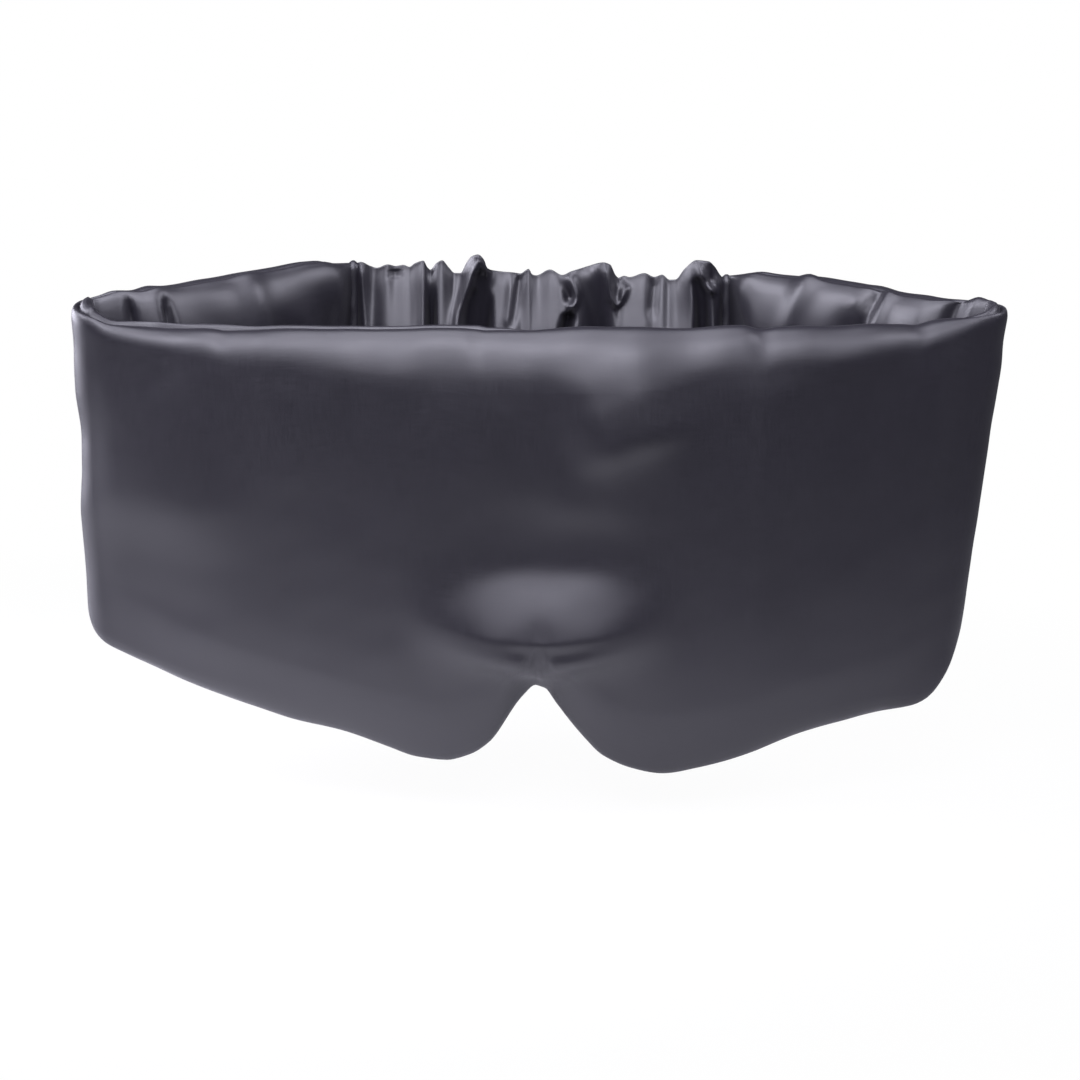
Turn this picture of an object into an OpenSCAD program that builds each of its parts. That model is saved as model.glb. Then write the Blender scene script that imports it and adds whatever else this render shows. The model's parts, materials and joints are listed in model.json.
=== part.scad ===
// Sleep eye mask: a padded satin front with a nose notch, two padded wings that fold back at
// the temples, and a gathered satin band with an elastic strip inside that closes the loop.
// Millimetres. The outer face looks along -Y and +Z is up, as the mask is worn. The origin lies
// in the middle of the inner face of the front, where the wearer's face rests.

/* [Front] */
// Width of the front between its two side folds
front_w = 224; // [190:1:256]
// Height of the front, from its top edge to the lowest point of its cheek lobes
front_h = 117; // [104:1:135]
// How far the side folds lie behind the middle of the front
front_bow = 17.5; // [8:0.5:24]
// Swell of the outer face over its rolled edges
front_swell = 5; // [1:0.5:7]
// Swell of the inner face towards the wearer
inner_swell = 6.5; // [1:0.5:8]

/* [Nose notch] */
// Height of the nose notch above the lowest point of the lobes
notch_h = 22; // [14:1:30]
// Angle of the notch's flanks from the horizontal
notch_angle = 56; // [44:1:64]
// Radius of the notch's apex
notch_r = 2; // [1:0.5:6]
// Distance between the lowest points of the two lobes
lobe_gap = 55; // [46:1:70]
// Length over which the flanks round into the lobes
lobe_round = 6; // [2:0.5:9]
// How far the outer face rises over the wearer's nose
nose_rise = 4; // [1:0.5:5]
// Width of that rise
nose_w = 58; // [44:1:72]
// Height of the rise's crest over the notch
nose_up = 16; // [12:1:20]
// Height of the sloping face above the crest
nose_slope_h = 17; // [12:1:24]

/* [Wings] */
// Height of the mask at its side folds
fold_h = 92; // [76:1:104]
// Angle at which each wing folds back from a line across the front
wing_angle = 37; // [24:1:48]
// Swell of a wing's outer face over its rolled edges
wing_swell = 2; // [0.5:0.5:4]
// Swell of a wing's inner face
wing_inner_swell = 3; // [0.5:0.5:4]
// Thickness of a wing where it is sewn to the band
wing_end_t = 3.5; // [2:0.5:6]

/* [Band] */
// Length of the gathered band at rest, between the two wing seams
band_len = 100; // [80:1:130]
// Height of the gathered band
band_h = 62; // [46:1:72]
// Number of gathers along the band
gather_count = 9; // [6:1:11]
// Depth of the gathers over the elastic
gather_depth = 5.5; // [3:0.5:7]
// Height of the loose frill above and below the elastic
frill_h = 8; // [5:0.5:11]
// Thickness of the elastic strip
elastic_t = 1.4; // [0.8:0.1:2.5]
// Radius of the rolled seam between a wing and the band
welt_r = 2; // [1.2:0.1:3]

/* [Layers] */
// Radius of the rolled edge of the padding
edge_r = 8; // [6:0.5:10]
// Thickness of the satin
satin_t = 0.6; // [0.4:0.1:1]
// Thickness of the opaque interlining
blackout_t = 0.5; // [0.3:0.1:1]
// Clearance between neighbouring layers
layer_gap = 0.2; // [0.1:0.05:0.4]
// Clearance between pieces that move apart
swing_gap = 0.3; // [0.2:0.05:0.6]

/* [Hidden] */
$fn = 48;

satin_colour = [0.25, 0.24, 0.29];
lining_colour = [0.30, 0.29, 0.34];
wadding_colour = [0.92, 0.91, 0.88];
blackout_colour = [0.06, 0.06, 0.07];
elastic_colour = [0.80, 0.80, 0.82];

// Places that the pieces share
top_z = front_h / 2;
fold_x = front_w / 2;
fold_y = front_bow - inner_swell;
fold_slope = atan(2 * front_bow / fold_x);
fold_z = top_z - fold_h;
wing_len = (front_w - band_len) / 2 / cos(wing_angle);
wing_end = wing_len - welt_r - layer_gap;
band_y = fold_y + wing_len * sin(wing_angle);
band_z = top_z - band_h;
band_half = band_len / 2 - welt_r - swing_gap;

// How closely each face keeps up its swell towards the folds, and towards its upper and lower edge
outer_keep = 4;
inner_keep = 3;
outer_dome = 2.5;
inner_dome = 4;
// Angle left open in the crook of a fold between the two swelling linings, and the lining's room there
crook_angle = wing_angle + fold_slope - atan(inner_keep * inner_swell / fold_x)
    - atan(PI * wing_inner_swell / wing_len);
fold_room = (satin_t + layer_gap + swing_gap) / tan(crook_angle / 2) + swing_gap;
// Inset of the wadding within the satin, and of the interlining within the wadding
wadding_inset = satin_t + 3 * layer_gap;
blackout_inset = edge_r / 2;
// Least thickness of the wadding along its edges
wadding_edge = 0.4;
// Radius of the core left open on a fold's axis
fold_core = satin_t;

// Steps of the meshes: columns in half the front and in a wing, rows in an edge, and where the rows
// between the edges lie, as shares of the face
front_steps = 15;
wing_steps = 6;
rim_steps = 3;
mid_shares = [0.1, 0.32, 0.66];
// Size of the columns by the notch against even ones
notch_step = 0.4;
// How late the cheek line rises, and how late a wing thins towards the band
cheek_power = 1.4;
thin_power = 4;

// Lower edge of the front
function smooth_max(a, b, s) = (a + b + sqrt(pow(a - b, 2) + s * s)) / 2;
function cheek_z(x) =
    let (t = max(0, (abs(x) - lobe_gap / 2) / (fold_x - lobe_gap / 2)))
    -front_h / 2 + (front_h - fold_h) * pow(t, cheek_power);
function notch_z(x) =
    let (k = tan(notch_angle), a = notch_r * k)
    -front_h / 2 + notch_h + k * (a - sqrt(x * x + a * a));
function front_z(x) = smooth_max(cheek_z(x), notch_z(x), lobe_round);

// A place on the loop: its point and outward normal in plan, the height of its lower edge, the
// radius of its rolled edge, and its outer and inner swell
function front_place(x) =
    let (slope = atan(2 * front_bow * x / pow(fold_x, 2)), t = abs(x) / fold_x)
    [[x, front_bow * pow(x / fold_x, 2) - inner_swell], [sin(slope), -cos(slope)],
     abs(x) < fold_x ? front_z(x) : fold_z, edge_r,
     front_swell * (1 - pow(t, outer_keep)), inner_swell * (1 - pow(t, inner_keep))];
function wing_place(u) =
    let (t = u / wing_len)
    [[fold_x - u * cos(wing_angle), fold_y + u * sin(wing_angle)],
     [sin(wing_angle), cos(wing_angle)],
     fold_z + (fold_h - band_h) * sin(90 * t),
     edge_r - (edge_r - wing_end_t) * pow(t, thin_power),
     wing_swell * sin(180 * t), wing_inner_swell * sin(180 * t)];

function front_places(margin) =
    [for (i = [-front_steps:front_steps])
        let (t = abs(i) / front_steps, x = fold_x * t * (notch_step + (1 - notch_step) * t * t))
        front_place(sign(i) * min(x, fold_x - margin))];
function wing_places(start) =
    [for (i = [0:wing_steps]) wing_place(start + (wing_end - start) * i / wing_steps)];

// Heights and depths across a padded strip: a rolled edge, the face, and a rolled edge
function strip_rows(z0, z1, r) = concat(
    [for (k = [0:rim_steps]) let (a = 90 * k / rim_steps) [z0 + r * (1 - cos(a)), r * sin(a)]],
    [for (share = mid_shares) [z0 + r + (z1 - z0 - 2 * r) * share, r]],
    [for (k = [rim_steps:-1:0]) let (a = 90 * k / rim_steps) [z1 - r * (1 - cos(a)), r * sin(a)]]);
function dome(z, z0, power) = 1 - pow(abs(2 * (z - z0) / (top_z - z0) - 1), power);
// Rise of the outer face over the nose, with its crest above the notch and its lower side tucked in
function nose_lift(x, z) =
    let (over = z + front_h / 2 - notch_h - nose_up,
         tall = over > 0 ? nose_slope_h : nose_up - edge_r,
         wide = max(0, 1 - pow(2 * x / nose_w, 2)))
    nose_rise * wide * wide * max(0, 1 - abs(over) / tall);
function at(p, z, d) = [p[0][0] + d * p[1][0], p[0][1] + d * p[1][1], z];

// Columns of points on the outer face, at an inset, and no closer to the seam than a floor
function outer_grid(places, inset, floor) =
    [for (p = places)
        [for (q = strip_rows(p[2] + inset, top_z - inset, p[3] - inset))
            at(p, q[0], layer_gap / 2 + max(floor, q[1]) + p[4] * dome(q[0], p[2], outer_dome)
                + nose_lift(p[0][0], q[0]))]];
// Columns of points on a face that follows the inner swell, raised from the lining's back
function inner_grid(places, inset, rise) =
    [for (p = places)
        [for (q = strip_rows(p[2] + inset, top_z - inset, edge_r - inset))
            at(p, q[0], rise - layer_gap / 2 - p[5] * dome(q[0], p[2], inner_dome))]];

// Closed solid between two grids of the same size, the first one outside
function flat(grid) = [for (column = grid) for (p = column) p];
function quad(a, b, c, d, turn) = turn ? [[a, b, c], [a, c, d]] : [[a, c, b], [a, d, c]];
function grid_faces(m, n, first, turn) =
    [for (i = [0:m - 1]) for (j = [0:n - 1])
        let (a = first + i * (n + 1) + j) each quad(a, a + 1, a + n + 2, a + n + 1, turn)];
module between(outer, inner) {
    m = len(outer) - 1;
    n = len(outer[0]) - 1;
    size = (m + 1) * (n + 1);
    ends = [for (j = [0:n - 1]) for (e = [0, 1])
        let (a = e * m * (n + 1) + j) each quad(a, a + 1, a + 1 + size, a + size, e == 1)];
    edges = [for (i = [0:m - 1]) for (e = [0, 1])
        let (a = i * (n + 1) + e * n, b = a + n + 1) each quad(a, b, b + size, a + size, e == 0)];
    polyhedron(concat(flat(outer), flat(inner)),
               concat(grid_faces(m, n, 0, true), grid_faces(m, n, size, false), ends, edges));
}

// Front of the mask, from the outside in
module front_cover() {
    places = front_places(0);
    color(satin_colour) between(outer_grid(places, 0, 0), outer_grid(places, satin_t, 0));
}
module front_wadding() {
    places = front_places(0);
    floor = 2 * layer_gap + blackout_t;
    color(wadding_colour)
        between(outer_grid(places, wadding_inset, floor + wadding_edge),
                inner_grid(places, wadding_inset, floor + layer_gap));
}
module front_blackout() {
    places = front_places(blackout_inset);
    color(blackout_colour)
        between(inner_grid(places, blackout_inset, layer_gap + blackout_t),
                inner_grid(places, blackout_inset, layer_gap));
}
module front_lining() {
    places = front_places(fold_room);
    color(lining_colour)
        between(inner_grid(places, 0, 0), inner_grid(places, 0, -satin_t));
}

// Side fold, drawn on the right
module fold_profile(inset) {
    r = edge_r + layer_gap / 2 - inset;
    intersection() {
        translate([fold_core, fold_z]) square([edge_r + layer_gap, fold_h]);
        union() {
            translate([0, fold_z + edge_r]) square([r, fold_h - 2 * edge_r]);
            for (z = [fold_z + edge_r, top_z - edge_r])
                translate([0, z]) circle(r);
        }
    }
}
module fold_sweep() {
    start = fold_slope - 90 + asin(layer_gap / edge_r);
    finish = 90 - wing_angle - asin(swing_gap / edge_r);
    translate([fold_x, fold_y, 0])
        rotate([0, 0, start])
            rotate_extrude(angle = finish - start) children();
}
module fold_cover() {
    color(satin_colour) fold_sweep() difference() {
        fold_profile(0);
        fold_profile(satin_t);
    }
}
module fold_wadding() {
    color(wadding_colour) fold_sweep() fold_profile(satin_t + layer_gap);
}

// Wing, drawn on the right, from the outside in
module wing_cover() {
    places = wing_places(0);
    color(satin_colour) between(outer_grid(places, 0, 0), outer_grid(places, satin_t, 0));
}
module wing_wadding() {
    places = wing_places(0);
    color(wadding_colour)
        between(outer_grid(places, wadding_inset, layer_gap + wadding_edge),
                inner_grid(places, wadding_inset, layer_gap));
}
module wing_lining() {
    places = wing_places(fold_room);
    color(lining_colour)
        between(inner_grid(places, 0, 0), inner_grid(places, 0, -satin_t));
}
module seam_welt() {
    color(satin_colour) translate([band_len / 2, band_y, band_z]) cylinder(h = band_h, r = welt_r);
}

// Gathered band: rings of points around the elastic, from the bottom up the inner face and down
// the outer one, four rings to a gather. The gathers wander along the band and differ in depth,
// and the elastic holds them flatter than the frills above and below it.
gather_rings = 4;
gather_steps = gather_rings * gather_count;
ring_size = 10;
gather_drift = 0.025;
drift_turns = 1.5;
gather_mean = 0.72;
mean_turns = 2.3;
mean_shift = 0.35;
gather_taper = 7;
gather_hold = 0.75;
frill_ripple = 2.5;
function gather_x(s) =
    band_half * (2 * (s + gather_drift * sin(360 * drift_turns * s) * sin(180 * s)) - 1);
function gather(s, side) =
    let (wave = pow(sin(180 * gather_count * s + 90 * side), 2),
         size = gather_mean + (1 - gather_mean) * sin(360 * (mean_turns * s + mean_shift * side)))
    gather_depth * wave * size * min(1, gather_taper * s, gather_taper * (1 - s));
function ring_point(s, k, inset) =
    let (top = ring_size / 2,
         side = k <= top ? 0 : 1,
         step = side == 0 ? k : ring_size - k,
         hold = step == 2 || step == 3 ? gather_hold : 1,
         wall = elastic_t / 2 + layer_gap + satin_t + hold * gather(s, side),
         sway = (gather(s, 1) - gather(s, 0)) / 2,
         dip = frill_ripple * (1 - (gather(s, 0) + gather(s, 1)) / gather_depth),
         z = [0, frill_h / 2, frill_h, band_h - frill_h, band_h - frill_h / 2, band_h][step])
    step == 0 || step == top
        ? [gather_x(s), band_y + sway, band_z + z + (step == 0 ? 1 : -1) * (inset + max(0, dip))]
        : [gather_x(s), band_y + (side == 0 ? -1 : 1) * (wall - inset), band_z + z];
module band_casing() {
    rings = gather_steps + 1;
    size = rings * ring_size;
    points = [for (inset = [0, satin_t]) for (i = [0:gather_steps]) for (k = [0:ring_size - 1])
        ring_point(i / gather_steps, k, inset)];
    skins = [for (skin = [0, 1]) for (i = [0:gather_steps - 1]) for (k = [0:ring_size - 1])
        let (a = skin * size + i * ring_size, b = (k + 1) % ring_size)
        each quad(a + k, a + b, a + ring_size + b, a + ring_size + k, skin == 0)];
    ends = [for (i = [0, gather_steps]) for (k = [0:ring_size - 1])
        let (a = i * ring_size, b = (k + 1) % ring_size)
        each quad(a + k, a + b, a + b + size, a + k + size, i > 0)];
    color(satin_colour) polyhedron(points, concat(skins, ends));
}
module band_elastic() {
    color(elastic_colour)
        translate([-band_half, band_y - elastic_t / 2, band_z + frill_h])
            cube([2 * band_half, elastic_t, band_h - 2 * frill_h]);
}

module left() { mirror([1, 0, 0]) children(); }

front_cover();
front_wadding();
front_blackout();
front_lining();
left() fold_cover();  // left_fold_cover
left() fold_wadding();  // left_fold_wadding
fold_cover();  // right_fold_cover
fold_wadding();  // right_fold_wadding
left() wing_cover();  // left_wing_cover
left() wing_wadding();  // left_wing_wadding
left() wing_lining();  // left_wing_lining
left() seam_welt();  // left_seam_welt
wing_cover();  // right_wing_cover
wing_wadding();  // right_wing_wadding
wing_lining();  // right_wing_lining
seam_welt();  // right_seam_welt
band_casing();
band_elastic();
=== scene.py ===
"""Sleep eye mask: a padded satin loop with a nose notch and a gathered band at the back.

Measures are millimetres in the frame's own axes unless a name says otherwise: X runs across the
mask, -Y is the side of its outer face and +Z is up. Left and right are as seen from outside.
"""

import json
import logging
import math
from dataclasses import dataclass
from enum import Enum

import bpy
import numpy as np
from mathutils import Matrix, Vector


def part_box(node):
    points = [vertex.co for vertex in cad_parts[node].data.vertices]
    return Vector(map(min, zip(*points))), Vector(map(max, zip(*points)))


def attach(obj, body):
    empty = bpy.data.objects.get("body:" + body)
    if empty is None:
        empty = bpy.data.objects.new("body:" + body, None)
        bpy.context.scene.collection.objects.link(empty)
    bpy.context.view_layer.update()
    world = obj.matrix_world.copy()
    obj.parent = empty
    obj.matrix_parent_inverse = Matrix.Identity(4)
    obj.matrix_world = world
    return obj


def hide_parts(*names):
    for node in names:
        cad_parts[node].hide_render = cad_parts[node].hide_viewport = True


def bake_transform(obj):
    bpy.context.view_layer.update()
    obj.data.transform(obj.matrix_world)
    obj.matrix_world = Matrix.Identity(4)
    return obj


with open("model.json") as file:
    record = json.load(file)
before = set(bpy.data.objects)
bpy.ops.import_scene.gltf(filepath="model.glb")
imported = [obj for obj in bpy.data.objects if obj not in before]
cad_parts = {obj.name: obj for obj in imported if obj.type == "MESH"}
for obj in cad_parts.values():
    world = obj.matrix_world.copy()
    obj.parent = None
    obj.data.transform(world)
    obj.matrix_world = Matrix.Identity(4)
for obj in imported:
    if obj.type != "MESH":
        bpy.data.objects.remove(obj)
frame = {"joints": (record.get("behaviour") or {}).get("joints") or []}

Array = np.ndarray
Points = tuple[tuple[float, float], ...]
Colour = tuple[float, float, float]
Feeds = dict[str | int, object]
Material = bpy.types.Material
Piece = bpy.types.Object
Socket = bpy.types.NodeSocket

MM = 0.001
CLOTH_MAP = "cloth"
log = logging.getLogger("sleep_mask")


class Hand(Enum):
    """The two ends of the mask, with the sign of X on each."""

    LEFT = -1
    RIGHT = 1

    @property
    def word(self) -> str:
        """The hand's name as it stands in the frame."""
        return self.name.lower()


def mix(a: Array, b: Array, share: Array) -> Array:
    """The value that lies a share of the way from a to b."""
    return a + (b - a) * share


def ease(start: float, end: float, x: Array) -> Array:
    """Smooth step from 0, where x is at the start, to 1, where it is at the end."""
    t = np.clip((np.asarray(x, float) - start) / (end - start), 0, 1)
    return t * t * (3 - 2 * t)


def through(points: Points, x: Array) -> Array:
    """Smooth curve through given points that never overshoots them.

    Args:
        points: Pairs of place and height, in rising order of place.
        x: Where to evaluate the curve.

    Returns:
        The curve's height at each x, held level beyond the ends.
    """
    place, height = np.array(points, float).T
    step = np.diff(place)
    slope = np.diff(height) / step
    tangent = np.zeros_like(height)
    tangent[0], tangent[-1] = slope[0], slope[-1]
    before, after = slope[:-1], slope[1:]
    same = before * after > 0
    heavy, light = 2 * step[1:] + step[:-1], step[1:] + 2 * step[:-1]
    tangent[1:-1][same] = (heavy + light)[same] / (heavy[same] / before[same] + light[same] / after[same])
    x = np.asarray(x, float)
    i = np.clip(np.searchsorted(place, x) - 1, 0, len(step) - 1)
    t = np.clip((x - place[i]) / step[i], 0, 1)
    rise = t * t * (3 - 2 * t)
    start = t * (1 - t) ** 2 * step[i] * tangent[i]
    finish = t * t * (t - 1) * step[i] * tangent[i + 1]
    return height[i] * (1 - rise) + height[i + 1] * rise + start + finish


def soften(values: Array, passes: int, axis: int) -> Array:
    """Rounds a grid of values along one axis, with its ends held.

    Args:
        values: The grid.
        passes: How many times a value is averaged with its two neighbours.
        axis: The axis to round along.

    Returns:
        The rounded grid.
    """
    kept = np.moveaxis(values.copy(), axis, 0)
    for _ in range(passes):
        kept[1:-1] = (kept[:-2] + 2 * kept[1:-1] + kept[2:]) / 4
    return np.moveaxis(kept, 0, axis)


def refine(values: Array, stride: int, axis: int, closed: bool) -> Array:
    """Fills in a coarse grid with a smooth curve through its values.

    Args:
        values: The coarse grid.
        stride: Number of fine steps for each coarse one.
        axis: The axis to fill in along.
        closed: Whether the last value is followed by the first.

    Returns:
        The fine grid, which keeps the coarse values.
    """
    v = np.moveaxis(values, axis, 0)
    padded = np.pad(v, [(1, 2)] + [(0, 0)] * (v.ndim - 1), "wrap" if closed else "edge")
    before, after, later = padded[:-3], padded[2:-1], padded[3:]
    steps = []
    for t in np.arange(stride) / stride:
        steps.append(v + 0.5 * t * (after - before) + t * t * (before - 2.5 * v + 2 * after - 0.5 * later)
                     + t ** 3 * (-0.5 * before + 1.5 * v - 1.5 * after + 0.5 * later))
    fine = np.stack(steps, 1).reshape(-1, *v.shape[1:])
    return np.moveaxis(fine if closed else fine[:1 - stride or None], 0, axis)


def rejoin(grid: Array) -> Array:
    """The columns of a grid with their first row again at their end."""
    return np.concatenate([grid, grid[:, :1]], 1)


def run_length(points: Array) -> Array:
    """Length of each line of points from its first point to every other."""
    steps = np.linalg.norm(np.diff(points, axis=-2), axis=-1)
    return np.concatenate([np.zeros((*steps.shape[:-1], 1)), np.cumsum(steps, -1)], -1)


@dataclass(frozen=True)
class Crease:
    """A ridge or valley that is pressed into cloth along a drawn line.

    Attributes:
        line: Points of the line as places along the cloth and heights.
        width: How far the crease reaches to either side.
        rise: Its height, negative for a valley.
        taper: Share of the line's length over which it fades at either end.
        above: How far it reaches on the upper side, where that differs.
        edge: How square its shoulders are, 1 for a sharp ridge and 4 for a flat floor.
    """

    line: Points
    width: float
    rise: float
    taper: float = 0.0
    above: float = 0.0
    edge: float = 2.0

    SAMPLES = 48
    REACH = 3.0

    def lift(self, along: Array, up: Array) -> Array:
        """How far the crease lifts the cloth.

        Args:
            along: Places along the cloth.
            up: Heights of the same points.

        Returns:
            The lift at each point.
        """
        wide = max(self.width, self.above)
        points = np.array(self.line, float)
        low, high = points.min(0) - self.REACH * wide, points.max(0) + self.REACH * wide
        near = (along > low[0]) & (along < high[0]) & (up > low[1]) & (up < high[1])
        lift = np.zeros(along.shape)
        if not near.any():
            return lift
        ends = np.linspace(0, 1, len(points))
        t = np.linspace(0, 1, self.SAMPLES)
        drawn = np.stack([through(tuple(zip(ends, points[:, k])), t) for k in (0, 1)], -1)
        gap = np.stack([along[near], up[near]], -1)[:, None] - drawn
        nearest = np.hypot(gap[..., 0], gap[..., 1]).argmin(1)
        gap = gap[np.arange(len(gap)), nearest]
        run = np.gradient(drawn, axis=0)
        step = np.linalg.norm(run, axis=-1)
        slip = np.clip((gap * (run / step[:, None])[nearest]).sum(-1), -step[nearest], step[nearest])
        place = np.clip(t[nearest] + slip / step[nearest] / (len(t) - 1), 0, 1)
        slip = np.where((place > 0) & (place < 1), slip, 0)
        far = np.sqrt(np.maximum((gap ** 2).sum(-1) - slip ** 2, 0))
        wider = (self.above or self.width) - self.width
        reach = self.width + wider * ease(-self.width, self.width, gap[:, 1])
        lift[near] = self.rise * np.exp(-((far / reach) ** self.edge))
        if self.taper:
            lift[near] *= ease(0, self.taper, np.minimum(place, 1 - place))
        return lift


@dataclass(frozen=True)
class NoseRise:
    """The soft rise over the nose: an arched face that slopes out to a crest, a shelf and a tuck under it.

    Attributes:
        middle: Place of its middle along the loop.
        half: Half its width.
        crest: Height of its crest in the middle.
        sag: How far the crest's ends lie above its middle.
        tall: Height of its upper face in the middle.
        slope: How far it comes out for each millimetre down.
        shelf: Height of the upright cloth under the crest.
        tuck: How far down the cloth comes back under the shelf.
    """

    middle: float = 0.5
    half: float = 37.0
    crest: float = -20.8
    sag: float = 9.0
    tall: float = 18.0
    slope: float = 0.34
    shelf: float = 4.5
    tuck: float = 5.0

    SOFT = 1.6
    ROUNDING = 40
    SHARP_SHARE = 0.15
    ROUND_SHARE = 0.8

    def lift(self, along: Array, up: Array) -> Array:
        """How far the rise lifts the cloth, sharp in its middle and rounded at its ends.

        Args:
            along: Places along the cloth.
            up: Heights of the same points.

        Returns:
            The lift at each point.
        """
        share = np.clip((along - self.middle) / self.half, -1, 1)
        over = up - self.crest - self.sag * share ** 2
        room = self.tall * (1 - share ** 2) - np.maximum(over, 0)
        out = self.slope * self.SOFT * np.logaddexp(0, room / self.SOFT) * (1 - share ** 4)
        sharp = out * np.exp(-(np.minimum(over + self.shelf, 0) / self.tuck) ** 2)
        sharp_to, round_from = self.half * self.SHARP_SHARE, self.half * self.ROUND_SHARE
        rounded = ease(sharp_to, round_from, np.abs(along - self.middle))
        return mix(sharp, soften(sharp, self.ROUNDING, 1), rounded)


@dataclass(frozen=True)
class Mottle:
    """Faint unevenness of stuffed cloth: soft waves that run in all directions.

    Attributes:
        rise: Typical height of the waves.
        shortest: Length of the shortest wave.
        longest: Length of the longest one.
    """

    rise: float
    shortest: float = 9.0
    longest: float = 30.0

    WAVES = 28
    SEED = 5

    def lift(self, along: Array, up: Array) -> Array:
        """How far the waves lift the cloth.

        Args:
            along: Places along the cloth.
            up: Heights of the same points.

        Returns:
            The lift at each point.
        """
        draw = np.random.default_rng(self.SEED)
        lengths = draw.uniform(self.shortest, self.longest, self.WAVES)
        headings, starts = draw.uniform(0, math.tau, (2, self.WAVES))
        total = np.zeros(along.shape)
        for length, heading, start in zip(lengths, headings, starts):
            run = along * math.cos(heading) + up * math.sin(heading)
            total += length / self.longest * np.sin(math.tau * run / length + start)
        return self.rise * total / math.sqrt(self.WAVES / 2)


@dataclass(frozen=True)
class Pattern:
    """Main measures of the mask, all taken from the frame.

    Attributes:
        fold: Place of the right side fold in plan.
        seam: Place of the right seam between wing and band in plan.
        top: Height of the upper edge.
        band_low: Height of the band's lower edge.
        front_y: Place of the front's own seam line in its middle.
    """

    fold: tuple[float, float]
    seam: tuple[float, float]
    top: float
    band_low: float
    front_y: float

    @classmethod
    def from_frame(cls) -> "Pattern":
        """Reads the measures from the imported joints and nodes.

        Returns:
            The pattern.
        """
        swing = next(j for j in frame["joints"] if j["name"] == "right_wing_swing")
        welt_low, welt_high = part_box("right_seam_welt")
        seam = (welt_low + welt_high) / 2
        lining_low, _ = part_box("front_lining")
        return cls(
            fold=(swing["pos_m"][0] / MM, swing["pos_m"][1] / MM),
            seam=(seam.x / MM, seam.y / MM),
            top=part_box("front_cover")[1].z / MM,
            band_low=welt_low.z / MM,
            front_y=lining_low.y / MM,
        )

    @property
    def wing_length(self) -> float:
        """Length of a wing from its fold to the band's seam."""
        return math.dist(self.fold, self.seam)

    @property
    def wing_angle(self) -> float:
        """Angle between a wing and a line across the mask, in radians."""
        return math.atan2(self.seam[1] - self.fold[1], self.fold[0] - self.seam[0])


class Board:
    """The nodes of a material or a world, added one by one."""

    def __init__(self, owner: Material | bpy.types.World) -> None:
        """Opens the owner's nodes."""
        owner.use_nodes = True
        self.nodes, self.links = owner.node_tree.nodes, owner.node_tree.links

    def feed(self, node: bpy.types.Node, feeds: Feeds) -> None:
        """Sets or links inputs of a node.

        Args:
            node: The node.
            feeds: For each input a constant or another node's output.
        """
        for name, value in feeds.items():
            if isinstance(value, Socket):
                self.links.new(value, node.inputs[name])
            else:
                node.inputs[name].default_value = value

    def add(self, kind: str, result: str, feeds: Feeds, **settings: object) -> Socket:
        """Adds a node.

        Args:
            kind: Its type.
            result: The name of the output that is wanted.
            feeds: What its inputs get.
            settings: Its other settings.

        Returns:
            The output.
        """
        node = self.nodes.new(f"ShaderNode{kind}")
        for name, value in settings.items():
            setattr(node, name, value)
        self.feed(node, feeds)
        return node.outputs[result]

    def blend(self, a: Socket, b: Socket, share: float) -> Socket:
        """Adds a mix of two values and gives its output."""
        return self.add("Mix", "Result", {"Factor": share, "A": a, "B": b}, data_type="FLOAT")

    def ramp(self, value: Socket, *stops: tuple[float, Colour]) -> Socket:
        """Adds a ramp between two colours.

        Args:
            value: What the ramp reads.
            stops: Place and colour of either end.

        Returns:
            The ramp's colour.
        """
        result = self.add("ValToRGB", "Color", {"Fac": value})
        for element, (place, colour) in zip(result.node.color_ramp.elements, stops):
            element.position = place
            element.color = (*colour, 1.0)
        return result


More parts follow.
